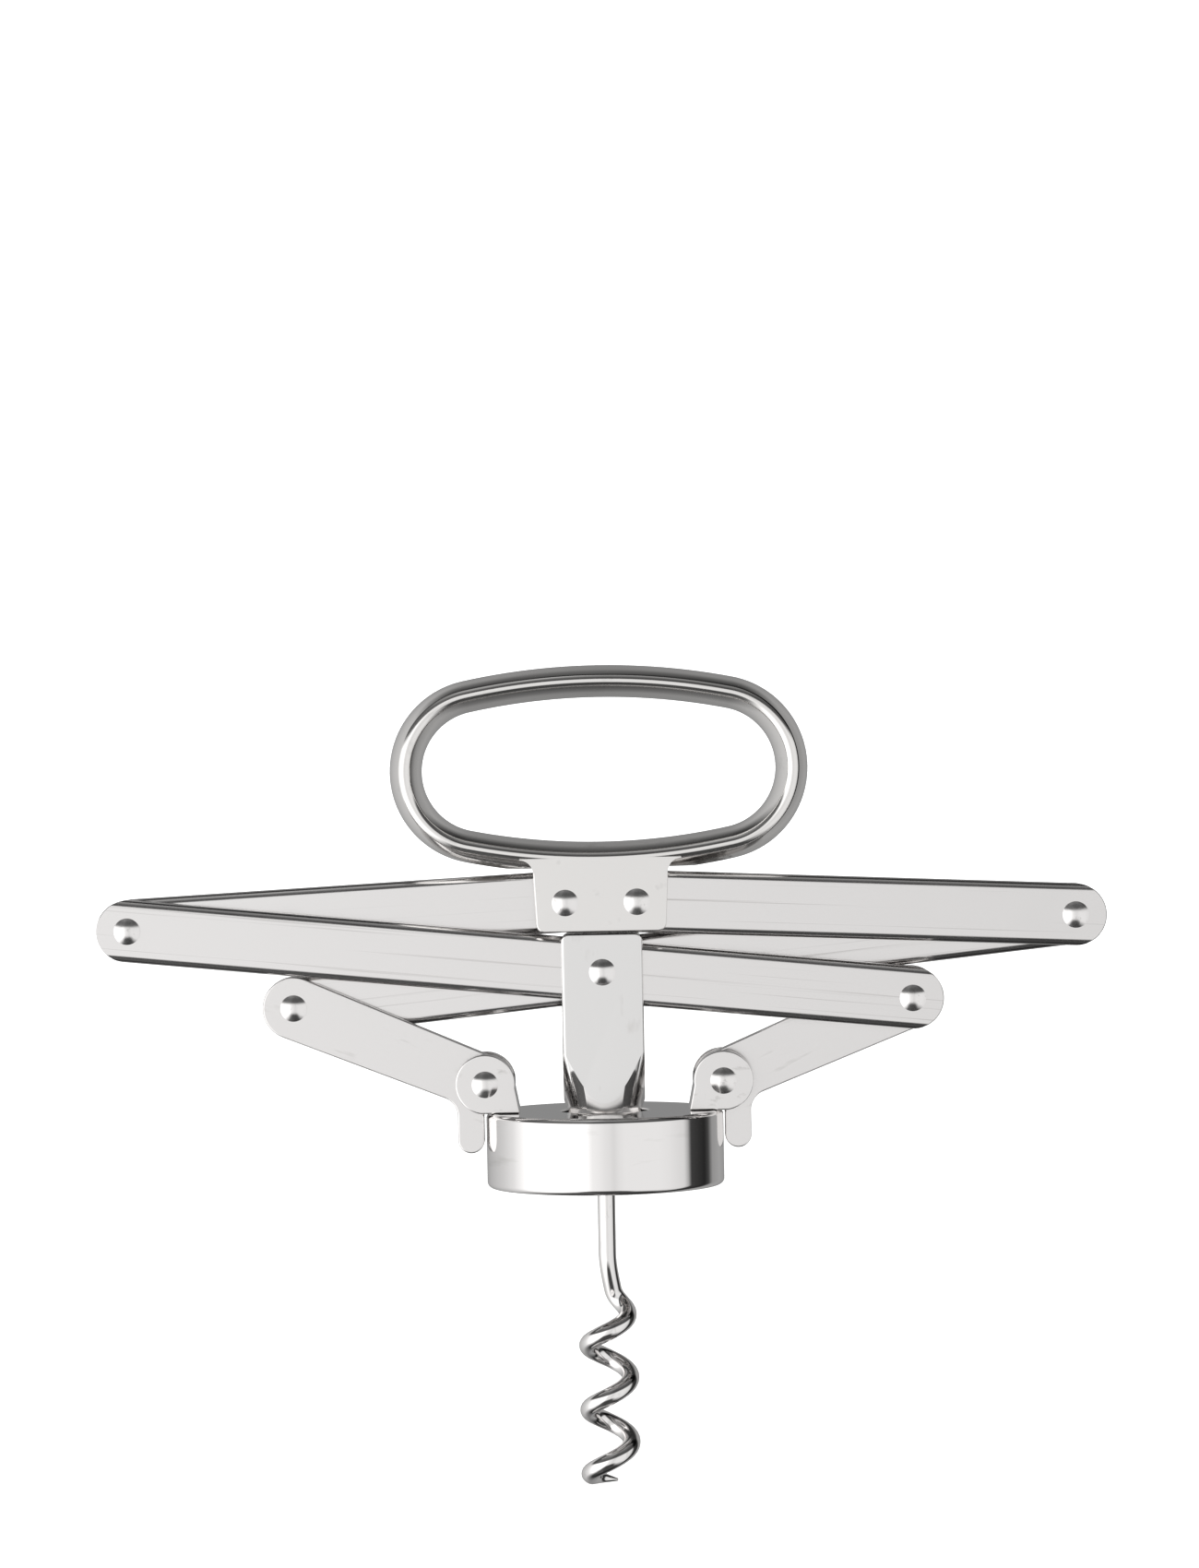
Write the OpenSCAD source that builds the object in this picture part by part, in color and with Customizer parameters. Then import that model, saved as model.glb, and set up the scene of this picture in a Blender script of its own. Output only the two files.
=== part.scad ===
// Concertina lever corkscrew: a collar that sits on the bottle, a lazy-tongs linkage of
// pressed steel arms, a pull handle and a wire worm in a slotted holder.
// X runs along the folded arms, -Y is the front, +Z points up out of the bottle.
// The origin is the centre of the seat that rests on the bottle's lip. Millimetres.

/* [Bottle collar] */
// Bore that drops over the bottle's lip
collar_bore = 30.8; // [28:0.2:38]
// Thickness of the collar's wall
collar_wall = 2.6; // [1.8:0.1:4]
// Height of the collar with its top plate
collar_height = 11.4; // [9:0.2:16]
// Thickness of the collar's top plate
collar_plate = 1.8; // [1.2:0.1:3]
// Rounding of the collar's outer edges
collar_round = 0.9; // [0.3:0.1:1.1]
// Free space round the worm holder where it dips through the top plate
collar_hole_gap = 0.55; // [0.3:0.05:1.5]

/* [Ears] */
// Thickness of one cheek of an ear
ear_cheek = 1.8; // [1.2:0.1:2.4]
// Radius of a cheek round its pivot
ear_radius = 4.5; // [4:0.1:5]
// How far an ear's foot runs inward from its pivot
ear_foot = 5.2; // [4.8:0.1:6]
// Thickness of the bridge that joins the two cheeks
ear_bridge = 0.8; // [0.5:0.1:1]

/* [Linkage] */
// Distance from the middle to the outer pivots, folded
outer_pivot_x = 71.6; // [60:0.2:90]
// Distance from the middle to the lower pivots, folded
lower_pivot_x = 46.8; // [39:0.2:56.4]
// Distance from the middle to the handle's pivots
handle_pivot_x = 5.4; // [5:0.1:7]
// Slope of the collar links, folded
link_tilt = 22.5; // [16:0.5:30]
// Slope of the upper arms, folded
upper_tilt = 2.75; // [2:0.25:6]
// Angle that the long arms swing through as the corkscrew opens
open_swing = 42; // [30:1:42]

/* [Arms] */
// Width of an arm
arm_width = 9.4; // [7.8:0.1:11.4]
// Depth of an arm's channel, front to back
arm_depth = 4.3; // [3.6:0.1:5.2]
// Thickness of the arms' sheet
sheet = 1; // [0.8:0.1:1.2]
// Rounding of an arm's long edges
arm_round = 1.2; // [0.9:0.1:1.6]
// Free space between a folded link and the arm above it
fold_gap = 0.14; // [0.1:0.02:0.6]

/* [Collar links] */
// Thickness of a link's plate
link_plate = 2.5; // [2:0.1:2.7]
// Radius of a link's end inside its ear
link_root_r = 4.2; // [3.6:0.1:4.5]
// Width of the stop finger
finger_width = 4; // [3:0.1:4.8]
// How far the finger's tip hangs below the ear's pivot
finger_reach = 10.5; // [8.8:0.1:12.6]
// Free space between the folded finger and the collar
finger_gap = 0.25; // [0.15:0.05:0.6]
// Fillet between the finger and the link's lower edge
finger_fillet = 3; // [1.5:0.25:3.5]

/* [Rivets] */
// Diameter of a rivet's shank
rivet_d = 2.8; // [2.3:0.1:3.2]
// Diameter of a rivet's domed head
head_d = 4; // [3.8:0.1:4.6]
// Height of a rivet's domed head
head_h = 0.85; // [0.6:0.05:1.2]
// Wall of a spacer tube
spacer_wall = 0.6; // [0.4:0.05:0.7]
// Radial running clearance of a pivot
pivot_fit = 0.05; // [0.02:0.01:0.1]

/* [Worm holder] */
// Thickness of the cheeks either side of the arms, on the holder and the handle
clevis_cheek = 1.55; // [1.2:0.05:2]
// Metal above the arms at the top of the holder
holder_cap = 1; // [0.3:0.1:1.5]
// Slope of the turned lower end, from the axis
holder_cone = 17; // [16:1:30]
// How far the holder dips below the collar's top, folded
holder_dip = 1.2; // [0.4:0.1:1.6]

/* [Worm] */
// Diameter of the worm's wire
wire_d = 2.7; // [2.2:0.1:3.2]
// Radius of the helix along the middle of the wire
helix_r = 3.2; // [2.6:0.1:3.8]
// Rise of one turn
helix_pitch = 9.8; // [8:0.1:12]
// Turns of the helix
helix_turns = 3.75; // [2.5:0.05:4.5]
// Straight length between the collar's top and the helix
shank_reach = 21.5; // [18:0.5:28]

/* [Handle] */
// Length of the finger loop along the middle of its bar
loop_length = 58.6; // [49:0.2:70.4]
// Height of the finger loop along the middle of its bar
loop_height = 26.8; // [24:0.2:32]
// Radius of the loop's ends along the middle of its bar
loop_end_r = 11.6; // [9.8:0.2:12]
// Thickness of the bar in the loop's own plane
bar_width = 4.9; // [4:0.1:5.8]
// Thickness of the bar front to back
bar_depth = 12.2; // [9:0.2:12.2]
// Metal between the arms' slot and the finger loop's opening
handle_roof = 3.9; // [3:0.1:5]
// Metal beside each of the handle's pivots
plate_margin = 4.4; // [4:0.1:6]

/* [Hidden] */
$fn = 96;

// Depths: the linkage is two layers of arms, one either side of the middle plane
layer_gap = 0.1;                              // from the middle plane to each layer
side_gap = 0.2;                               // from the arms to the cheeks round them
end_gap = 0.1;                                // from a spacer to a moving plate
root_gap = 0.25;                              // from a link's end to the collar's top
front_face = -(layer_gap + arm_depth);        // front of the front layer
rear_face = layer_gap;                        // front of the rear layer
slot_half = layer_gap + arm_depth + side_gap; // inside of the holder's and handle's slots
clevis_half = slot_half + clevis_cheek;       // outside of their cheeks
ear_slot = layer_gap + link_plate + side_gap; // inside of an ear's cheeks
ear_half = ear_slot + ear_cheek;              // outside of an ear's cheeks

// Plan sizes
collar_r = collar_bore / 2 + collar_wall;
arm_r = arm_width / 2;
rivet_r = rivet_d / 2;
hole_r = rivet_r + pivot_fit;
spacer_r = hole_r + spacer_wall;
ear_pivot_x = collar_r;

// Folded slope of the long arms: each link's end tucks just under the arm above it
arm_tilt = asin((arm_width + fold_gap) / (2 * lower_pivot_x));

// Pivot heights, folded
ear_pivot_z = collar_plate + link_root_r + root_gap;
lower_pivot_z = ear_pivot_z + (lower_pivot_x - ear_pivot_x) * tan(link_tilt);
centre_z = lower_pivot_z + lower_pivot_x * tan(arm_tilt);
outer_pivot_z = centre_z + outer_pivot_x * tan(arm_tilt);
handle_pivot_z = outer_pivot_z + (outer_pivot_x - handle_pivot_x) * tan(upper_tilt);

// Lengths between pivots
lower_span = lower_pivot_x / cos(arm_tilt);
upper_span = outer_pivot_x / cos(arm_tilt);
link_span = (lower_pivot_x - ear_pivot_x) / cos(link_tilt);
upper_arm_span = (outer_pivot_x - handle_pivot_x) / cos(upper_tilt);

// Play of the two pivots where a second arm meets a pin that another arm already holds
centre_play = 2;
handle_play = 1;
open_fit = 0.1;                               // clearance left at the full play

// Worm holder: a square bar, slotted from the top and turned at its lower end
holder_half = clevis_half;
holder_top = centre_z + arm_r + holder_cap;
holder_bottom = collar_plate - holder_dip;
open_tilt = arm_tilt + open_swing;
slot_floor = centre_z - holder_half * tan(open_tilt) - arm_r / cos(open_tilt) - side_gap;
socket_roof = 1.5;                            // metal between the worm and the slot
turned_rise = 1.4;                            // where the turned cone meets the flat faces, above
                                              // the collar's top
turned_end = collar_plate + turned_rise;
collar_hole_r = holder_half + collar_hole_gap;

// Handle
roof_gap = 0.5;                               // from the arms to the slot's roof
tab_gap = 0.35;                               // from the folded holder to the tab
tab_rise = 1.5;                               // tab above the slot's roof
slot_roof_z = handle_pivot_z + arm_r + roof_gap;
plate_bottom = holder_top + tab_gap;
plate_top = slot_roof_z + tab_rise;
loop_z = slot_roof_z + handle_roof + (loop_height - bar_width) / 2;
plate_half = handle_pivot_x + plate_margin;

// Step left where two round shapes run into each other, so that they join cleanly
seam = 0.02;

// How far a cutting shape runs past what it cuts
over = 1;

// ---- shared shapes ------------------------------------------------------------------

// A flat shape drawn in X and Z, as thick as from y0 to y1
module slab(y0, y1) {
    translate([0, y1, 0]) rotate([90, 0, 0]) linear_extrude(y1 - y0) children();
}

// A round bar along Y at (x, z)
module rod(x, z, r, y0, y1) {
    translate([x, y1, z]) rotate([90, 0, 0]) cylinder(r = r, h = y1 - y0);
}

// A rivet with a domed head on each outer face
module rivet(x, z, y0, y1) {
    dome_r = (head_d * head_d / 4 + head_h * head_h) / (2 * head_h);
    color("gainsboro") union() {
        rod(x, z, rivet_r, y0, y1);
        for (end = [[y0, -1], [y1, 1]]) intersection() {
            translate([x, end[0] - end[1] * (dome_r - head_h), z]) sphere(dome_r);
            rod(x, z, head_d / 2, min(end[0], end[0] + end[1] * head_h),
                max(end[0], end[0] + end[1] * head_h));
        }
    }
}

// A tube that keeps two plates apart on a rivet
module spacer(x, z, y0, y1) {
    color("silver") difference() {
        rod(x, z, spacer_r, y0, y1);
        rod(x, z, hole_r, y0 - over, y1 + over);
    }
}

// Section of an arm: depth along x from its front face, width along y
module channel_section() {
    corner = arm_r - arm_round;
    difference() {
        union() {
            translate([arm_round, -arm_r]) square([arm_depth - arm_round, arm_width]);
            translate([0, -corner]) square([arm_depth, 2 * corner]);
            for (side = [-1, 1]) translate([arm_round, side * corner]) circle(arm_round);
        }
        translate([sheet, sheet - arm_r]) square([arm_depth, arm_width - 2 * sheet]);
    }
}

// An arm from the origin along +X, its ends cut round; holes are [distance, radius]
module arm(length, y_front, holes) {
    difference() {
        intersection() {
            translate([-arm_r, y_front, 0]) rotate([90, 0, 90])
                linear_extrude(length + 2 * arm_r) channel_section();
            slab(y_front - over, y_front + arm_depth + over) union() {
                translate([0, -arm_r]) square([length, arm_width]);
                for (x = [0, length]) translate([x, 0]) circle(arm_r);
            }
        }
        for (hole = holes) rod(hole[0], 0, hole[1], y_front - over, y_front + sheet + over);
    }
}

// A long arm from its lower pivot, rising to the right through the centre
module long_arm(y_front, centre_hole) {
    translate([-lower_pivot_x, 0, lower_pivot_z]) rotate([0, -arm_tilt, 0])
        arm(lower_span + upper_span, y_front,
            [[0, hole_r], [lower_span, centre_hole], [lower_span + upper_span, hole_r]]);
}

// An upper arm from the handle, falling to the right
module upper_arm(y_front, handle_hole) {
    translate([handle_pivot_x, 0, handle_pivot_z]) rotate([0, upper_tilt, 0])
        arm(upper_arm_span, y_front, [[0, handle_hole], [upper_arm_span, hole_r]]);
}

// ---- bottle collar and its ears -------------------------------------------------------

module collar_cup() {
    bottom = collar_plate - collar_height;
    color("gainsboro") difference() {
        rotate_extrude() union() {
            translate([0, bottom]) square([collar_r - collar_round, collar_height]);
            translate([0, bottom + collar_round])
                square([collar_r, collar_height - 2 * collar_round]);
            for (z = [bottom + collar_round, collar_plate - collar_round])
                translate([collar_r - collar_round, z]) circle(collar_round);
        }
        translate([0, 0, bottom - over]) cylinder(d = collar_bore, h = over - bottom);
        cylinder(r = collar_hole_r, h = 2 * collar_plate);
    }
}

// The right ear: two cheeks joined by a bridge at the inner end of the foot
module ear() {
    x = ear_pivot_x;
    z = ear_pivot_z;
    lean = atan2(z - collar_plate, ear_foot);
    reach = norm([ear_foot, z - collar_plate]);
    touch = 90 - lean + acos(ear_radius / reach);
    color("gainsboro") difference() {
        slab(-ear_half, ear_half) difference() {
            union() {
                translate([x, z]) circle(ear_radius);
                polygon([
                    [x - ear_foot, collar_plate],
                    [x, collar_plate],
                    [x, z],
                    [x - ear_radius * sin(touch), z + ear_radius * cos(touch)]
                ]);
            }
            translate([0, collar_plate - ear_radius]) square([2 * x, ear_radius]);
        }
        slab(-ear_slot, ear_slot) union() {
            translate([x, z]) circle(link_root_r + side_gap);
            translate([x - ear_foot + ear_bridge, z - link_root_r / 2])
                square([2 * ear_foot + ear_radius, 2 * link_root_r]);
            translate([x, 0]) square([2 * ear_radius, z]);
        }
        rod(x, z, hole_r, -ear_half - over, ear_half + over);
    }
}
module right_ear() { ear(); }
module left_ear() { mirror([1, 0, 0]) ear(); }

module left_ear_rivet() { rivet(-ear_pivot_x, ear_pivot_z, -ear_half, ear_half); }
module right_ear_rivet() { rivet(ear_pivot_x, ear_pivot_z, -ear_half, ear_half); }
module left_ear_spacer() { spacer(-ear_pivot_x, ear_pivot_z, 0, ear_slot); }
module right_ear_spacer() { spacer(ear_pivot_x, ear_pivot_z, -ear_slot, 0); }

// ---- collar links ---------------------------------------------------------------------

// The right link: a tapering bar with a stop finger below its ear pivot
module link(y0) {
    y1 = y0 + link_plate;
    taper = asin((arm_r - link_root_r) / link_span);
    // lower edge of the bar, as a slope and a point
    edge = link_tilt - taper;
    edge_x = link_root_r * sin(edge);
    edge_z = -link_root_r * cos(edge);
    // stop finger, and the fillet that runs it into that edge
    finger_out = finger_gap + finger_width;
    tip_z = finger_width / 2 - finger_reach;
    fillet_x = finger_out + finger_fillet;
    fillet_z = edge_z + (fillet_x - edge_x) * tan(edge) - finger_fillet / cos(edge);
    meet_x = fillet_x - finger_fillet * sin(edge);
    meet_z = fillet_z + finger_fillet * cos(edge);
    color("gainsboro") difference() {
        translate([ear_pivot_x, 0, ear_pivot_z]) union() {
            rod(0, 0, link_root_r, y0, y1);
            rod(lower_pivot_x - ear_pivot_x, lower_pivot_z - ear_pivot_z, arm_r, y0, y1);
            slab(y0, y1) rotate(link_tilt) polygon([
                [0, link_root_r - seam],
                [link_span, arm_r - seam],
                [link_span, seam - arm_r],
                [0, seam - link_root_r]
            ]);
            slab(y0, y1) translate([finger_gap, tip_z]) square([finger_width, -tip_z]);
            rod(finger_gap + finger_width / 2, tip_z, finger_width / 2, y0, y1);
            difference() {
                slab(y0, y1) polygon([[finger_gap, 0], [finger_gap + seam, fillet_z],
                    [fillet_x, fillet_z], [meet_x, meet_z]]);
                rod(fillet_x, fillet_z, finger_fillet, y0 - over, y1 + over);
            }
        }
        for (pivot = [[ear_pivot_x, ear_pivot_z], [lower_pivot_x, lower_pivot_z]])
            rod(pivot[0], pivot[1], hole_r, y0 - over, y1 + over);
    }
}
module right_link() { link(rear_face); }
module left_link() { mirror([1, 0, 0]) link(-layer_gap - link_plate); }

module lower_left_rivet() {
    rivet(-lower_pivot_x, lower_pivot_z, -layer_gap - link_plate, rear_face + sheet);
}
module lower_right_rivet() {
    rivet(lower_pivot_x, lower_pivot_z, front_face, rear_face + link_plate);
}
module lower_right_spacer() {
    spacer(lower_pivot_x, lower_pivot_z, front_face + sheet + end_gap, rear_face);
}

// ---- arms -----------------------------------------------------------------------------

module rear_long_arm() { color("gainsboro") long_arm(rear_face, hole_r); }
module front_long_arm() {
    color("gainsboro") mirror([1, 0, 0]) long_arm(front_face, rivet_r + centre_play + open_fit);
}
module upper_right_arm() { color("gainsboro") upper_arm(front_face, hole_r); }
module upper_left_arm() {
    color("gainsboro") mirror([1, 0, 0]) upper_arm(rear_face, rivet_r + handle_play + open_fit);
}

module left_end_rivet() { rivet(-outer_pivot_x, outer_pivot_z, front_face, rear_face + sheet); }
module right_end_rivet() { rivet(outer_pivot_x, outer_pivot_z, front_face, rear_face + sheet); }
module left_end_spacer() {
    spacer(-outer_pivot_x, outer_pivot_z, front_face + sheet, rear_face - end_gap);
}
module right_end_spacer() {
    spacer(outer_pivot_x, outer_pivot_z, front_face + sheet + end_gap, rear_face);
}

// ---- worm holder and worm -------------------------------------------------------------

module worm_holder() {
    corner_r = holder_half * sqrt(2) + seam;
    cone_top = turned_end + (corner_r - holder_half) / tan(holder_cone);
    foot_r = holder_half - (turned_end - holder_bottom) * tan(holder_cone);
    color("gainsboro") difference() {
        intersection() {
            translate([-holder_half, -holder_half, holder_bottom])
                cube([2 * holder_half, 2 * holder_half, holder_top - holder_bottom]);
            rotate_extrude() polygon([
                [0, holder_bottom],
                [foot_r, holder_bottom],
                [corner_r, cone_top],
                [corner_r, holder_top],
                [0, holder_top]
            ]);
        }
        translate([-holder_half - over, -slot_half, slot_floor])
            cube([2 * (holder_half + over), 2 * slot_half, holder_top]);
        translate([0, 0, holder_bottom - over])
            cylinder(d = wire_d, h = slot_floor - socket_roof - holder_bottom + over);
        rod(0, centre_z, rivet_r, -clevis_half - over, clevis_half + over);
    }
}

module centre_rivet() { rivet(0, centre_z, -clevis_half, clevis_half); }
module centre_spacers() {
    spacer(0, centre_z, front_face + sheet + end_gap, 0);
    spacer(0, centre_z, rear_face + sheet + end_gap, slot_half);
}

// Middle line of the worm, the size of its wire and the frame of each ring
ring_sides = 12;
rings_per_turn = 24;
rings = round(helix_turns * rings_per_turn);
helix_top = collar_plate - shank_reach;
lead_in = 1.15;               // turns over which the wire swings out
first_right = 0.95;           // turns down to where it first reaches the right-hand side
lag = 1.4;                    // how slowly it comes round to there
level_turns = 0.4;            // turns over which the coil levels off at its end
level_loss = 0.8;             // share of the pitch lost there
point_turns = 0.22;           // turns over which the wire is ground to a point
point_end = 0.15;             // share of the wire's size left at the point

function ease(t) = let (c = min(max(t, 0), 1)) c * c * (3 - 2 * c);
function turn(i) = i / rings_per_turn;
function swing(i) = helix_r * ease(turn(i) / lead_in);
function bearing(i) = let (before = min(max(first_right - turn(i), 0), 1 / (2 * lag)))
    360 * (before - lag * before * before - max(turn(i) - first_right, 0));
function fall(i) = let (end = max(turn(i) - helix_turns + level_turns, 0))
    helix_pitch * (turn(i) - level_loss * end * end / (2 * level_turns));
function middle(i) = [
    swing(i) * cos(bearing(i)), swing(i) * sin(bearing(i)), helix_top - fall(i)
];
function thickness(i) = let (left = (helix_turns - turn(i)) / point_turns)
    wire_d / 2 * (point_end + (1 - point_end) * min(max(left, 0), 1));
function unit(v) = v / norm(v);
function ring(i) =
    let (along = unit(middle(i + 0.5) - middle(i - 0.5)),
         out = [cos(bearing(i)), sin(bearing(i)), 0],
         side = unit(cross(along, out)),
         up = cross(side, along))
    [for (k = [0 : ring_sides - 1]) let (a = 360 * k / ring_sides)
        middle(i) + thickness(i) * (cos(a) * up + sin(a) * side)];

module worm() {
    top_ring = [for (p = ring(0)) [p[0], p[1], slot_floor - socket_roof]];
    points = concat(top_ring, [for (i = [0 : rings]) each ring(i)]);
    last = (rings + 1) * ring_sides;
    sides = [for (j = [0 : rings]) for (k = [0 : ring_sides - 1])
        let (n = (k + 1) % ring_sides, a = j * ring_sides, b = a + ring_sides)
        each [[a + k, b + k, b + n], [a + k, b + n, a + n]]];
    caps = [
        [for (k = [0 : ring_sides - 1]) k],
        [for (k = [0 : ring_sides - 1]) last + ring_sides - 1 - k]
    ];
    color("silver") polyhedron(points, concat(sides, caps));
}

// ---- handle ---------------------------------------------------------------------------

// Section of the loop's bar, grown all round: an oval of four arcs, its width along x
module bar_section(grow) {
    half_w = bar_width / 2 + grow;
    half_d = bar_depth / 2 + grow;
    nose_r = 1.6;             // rounding of the bar's front and back ridges
    reach = half_d - nose_r;
    side_r = (reach * reach + half_w * half_w - nose_r * nose_r) / (2 * (half_w - nose_r));
    band = side_r * reach / (side_r - nose_r);
    union() {
        intersection() {
            translate([side_r - half_w, 0]) circle(side_r);
            translate([half_w - side_r, 0]) circle(side_r);
            square([2 * bar_width, 2 * band], center = true);
        }
        for (side = [-1, 1]) translate([0, side * reach]) circle(nose_r);
    }
}

module loop() {
    end_x = loop_length / 2 - loop_end_r;
    half_h = loop_height / 2;
    long_r = (end_x * end_x + half_h * half_h - loop_end_r * loop_end_r)
        / (2 * (half_h - loop_end_r));
    long_z = long_r - half_h;
    join = atan2(long_z, end_x);
    tuck = 0.2;               // angle by which a long arc's end is tucked into an end arc
    translate([0, 0, loop_z]) rotate([90, 0, 0]) union() for (side = [0, 180]) rotate(side) {
        translate([end_x, 0]) rotate(-join) rotate_extrude(angle = 2 * join)
            translate([loop_end_r, 0]) bar_section(seam);
        translate([0, -long_z]) rotate(join - tuck)
            rotate_extrude(angle = 180 - 2 * join + 2 * tuck)
            translate([long_r, 0]) bar_section(0);
    }
}

// The tab that holds the arms: a little wider at the top, flared into the loop
module tab_outline() {
    corner = 1.3;             // rounding of the tab's lower corners
    spread = 0.5;             // how much wider each side is at the top
    flare = 2;                // radius of the sweep into the loop
    tip = 0.2;                // metal left at the end of the sweep
    top_half = plate_half + spread;
    sweep_z = plate_top - tip - flare;
    sweep_x = plate_half + flare
        + spread * (sweep_z - plate_bottom - corner) / (plate_top - plate_bottom - corner);
    union() {
        polygon([
            [-plate_half, plate_bottom + corner],
            [-plate_half + corner, plate_bottom],
            [plate_half - corner, plate_bottom],
            [plate_half, plate_bottom + corner],
            [top_half, plate_top],
            [-top_half, plate_top]
        ]);
        for (side = [-1, 1]) {
            translate([side * (plate_half - corner), plate_bottom + corner]) circle(corner);
            difference() {
                translate([side * (sweep_x - flare), (sweep_z + plate_top) / 2])
                    square([2 * flare, plate_top - sweep_z], center = true);
                translate([side * sweep_x, sweep_z]) circle(flare + seam);
            }
        }
    }
}

module handle() {
    color("gainsboro") difference() {
        union() {
            loop();
            slab(-clevis_half, clevis_half) tab_outline();
        }
        translate([-loop_length / 2, -slot_half, plate_bottom - over])
            cube([loop_length, 2 * slot_half, slot_roof_z - plate_bottom + over]);
        for (side = [-1, 1])
            rod(side * handle_pivot_x, handle_pivot_z, rivet_r, -clevis_half - over,
                clevis_half + over);
    }
}

module left_handle_rivet() { rivet(-handle_pivot_x, handle_pivot_z, -clevis_half, clevis_half); }
module right_handle_rivet() { rivet(handle_pivot_x, handle_pivot_z, -clevis_half, clevis_half); }
module left_handle_spacers() {
    spacer(-handle_pivot_x, handle_pivot_z, -slot_half, 0);
    spacer(-handle_pivot_x, handle_pivot_z, rear_face + sheet + end_gap, slot_half);
}
module right_handle_spacer() {
    spacer(handle_pivot_x, handle_pivot_z, front_face + sheet + end_gap, slot_half);
}

// ---- the pieces -----------------------------------------------------------------------

collar_cup();
left_ear();
right_ear();
left_ear_rivet();
right_ear_rivet();
left_ear_spacer();
right_ear_spacer();
left_link();
right_link();
lower_left_rivet();
lower_right_rivet();
lower_right_spacer();
front_long_arm();
rear_long_arm();
upper_left_arm();
upper_right_arm();
left_end_rivet();
right_end_rivet();
left_end_spacer();
right_end_spacer();
worm_holder();
worm();
centre_rivet();
centre_spacers();
handle();
left_handle_rivet();
right_handle_rivet();
left_handle_spacers();
right_handle_spacer();
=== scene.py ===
from math import acos, atan2, ceil, cos, degrees, hypot, pi, radians, sin, sqrt, tan

import bmesh
import bpy
from mathutils import Matrix, Vector


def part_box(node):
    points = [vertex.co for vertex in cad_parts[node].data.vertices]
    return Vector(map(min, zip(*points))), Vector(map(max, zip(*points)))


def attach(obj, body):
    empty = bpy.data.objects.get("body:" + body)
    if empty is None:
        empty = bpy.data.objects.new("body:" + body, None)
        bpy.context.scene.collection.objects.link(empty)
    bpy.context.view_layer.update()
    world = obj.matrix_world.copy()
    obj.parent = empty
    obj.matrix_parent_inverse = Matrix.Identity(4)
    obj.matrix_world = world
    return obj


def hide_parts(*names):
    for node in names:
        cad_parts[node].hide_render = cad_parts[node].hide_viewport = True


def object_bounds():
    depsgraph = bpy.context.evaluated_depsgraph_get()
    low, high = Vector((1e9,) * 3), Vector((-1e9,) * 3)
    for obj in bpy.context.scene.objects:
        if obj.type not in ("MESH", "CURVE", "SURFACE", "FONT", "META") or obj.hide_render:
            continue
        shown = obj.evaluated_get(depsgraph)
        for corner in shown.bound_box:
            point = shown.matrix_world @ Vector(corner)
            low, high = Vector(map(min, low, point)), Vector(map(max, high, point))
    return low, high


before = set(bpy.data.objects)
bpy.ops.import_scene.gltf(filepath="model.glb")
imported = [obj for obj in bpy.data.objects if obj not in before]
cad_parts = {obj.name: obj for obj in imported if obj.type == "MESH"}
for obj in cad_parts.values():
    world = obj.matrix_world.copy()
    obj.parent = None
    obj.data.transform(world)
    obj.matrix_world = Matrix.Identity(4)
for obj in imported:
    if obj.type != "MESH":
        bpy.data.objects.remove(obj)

cad_box = [list(corner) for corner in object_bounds()]
FLOOR_DROP = 0.004          # from the worm's point down to the floor, in metres


# ---- Camera and studio ----------------------------------------------------------------
# A long lens looks at the corkscrew square on and leans a degree. The room is white: a bright
# screen on the left, a duller one on the right, a dark gap beyond it, and dark above and
# below, which is what draws the lines on the polished metal.

scene = bpy.context.scene
scene.view_settings.view_transform = "Standard"

camera = bpy.data.objects.new("camera", bpy.data.cameras.new("camera"))
camera.data.lens = 99
camera.data.sensor_fit = "VERTICAL"
camera.data.sensor_height = 36
camera.location = (0.0001, -0.655, 0.0513)
camera.rotation_euler = (radians(90), radians(1.04), 0)
scene.collection.objects.link(camera)
scene.camera = camera


def add_node(tree, kind, inputs=None, stops=(), **settings):
    """Adds a node. An input given as a socket is linked, any other value is set on it."""
    node = tree.nodes.new(kind)
    for name, value in settings.items():
        setattr(node, name, value)
    for key, value in (inputs or {}).items():
        if isinstance(value, bpy.types.NodeSocket):
            tree.links.new(value, node.inputs[key])
        else:
            node.inputs[key].default_value = value
    if stops:
        ramp = node.color_ramp
        while len(ramp.elements) < len(stops):
            ramp.elements.new(0.5)
        for element, (position, colour) in zip(ramp.elements, stops):
            element.position = position
            element.color = colour
    return node


def grey(value):
    return (value, value, value, 1)


def by_bearing(values, full=1):
    """Ramp stops for values given by bearing, in degrees to the right of the lens."""
    return [((bearing + 180) / 360, grey(value / full)) for bearing, value in values]


# brightness of the room by bearing
ROOM = [
    (-180, 0.25), (-150, 0.48), (-119, 0.66), (-101, 0.83), (-88, 1.10), (-76, 1.40),
    (-22, 1.40), (-13, 0.98), (-6, 0.92), (0, 0.85), (4, 0.82), (8, 0.76), (13, 0.84),
    (19, 0.88), (53, 0.88), (65, 0.84), (82, 0.74), (87, 0.45), (91, 0.05), (112, 0.02),
    (119, 0.06), (127, 0.32), (145, 0.38), (180, 0.25),
]
BRIGHTEST = max(value for bearing, value in ROOM)
# how short the screens are above the lens and below it: 1 ends one 20 degrees away
SHORT_ABOVE = [
    (-180, 0.42), (-130, 0.6), (-105, 1.0), (105, 1.0), (130, 0.6), (180, 0.42),
]
SHORT_BELOW = [
    (-180, 0.42), (-60, 0.42), (-34, 0.5), (-14, 0.8), (14, 0.8), (34, 0.5), (90, 0.42),
    (180, 0.42),
]
# share of that brightness by height above the lens, in degrees times shortness
SCREEN = [
    (-90, 0.07), (-27, 0.07), (-17, 1.0), (17, 1.0), (26, 0.09), (45, 0.1), (75, 0.3),
    (90, 0.45),
]

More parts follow.
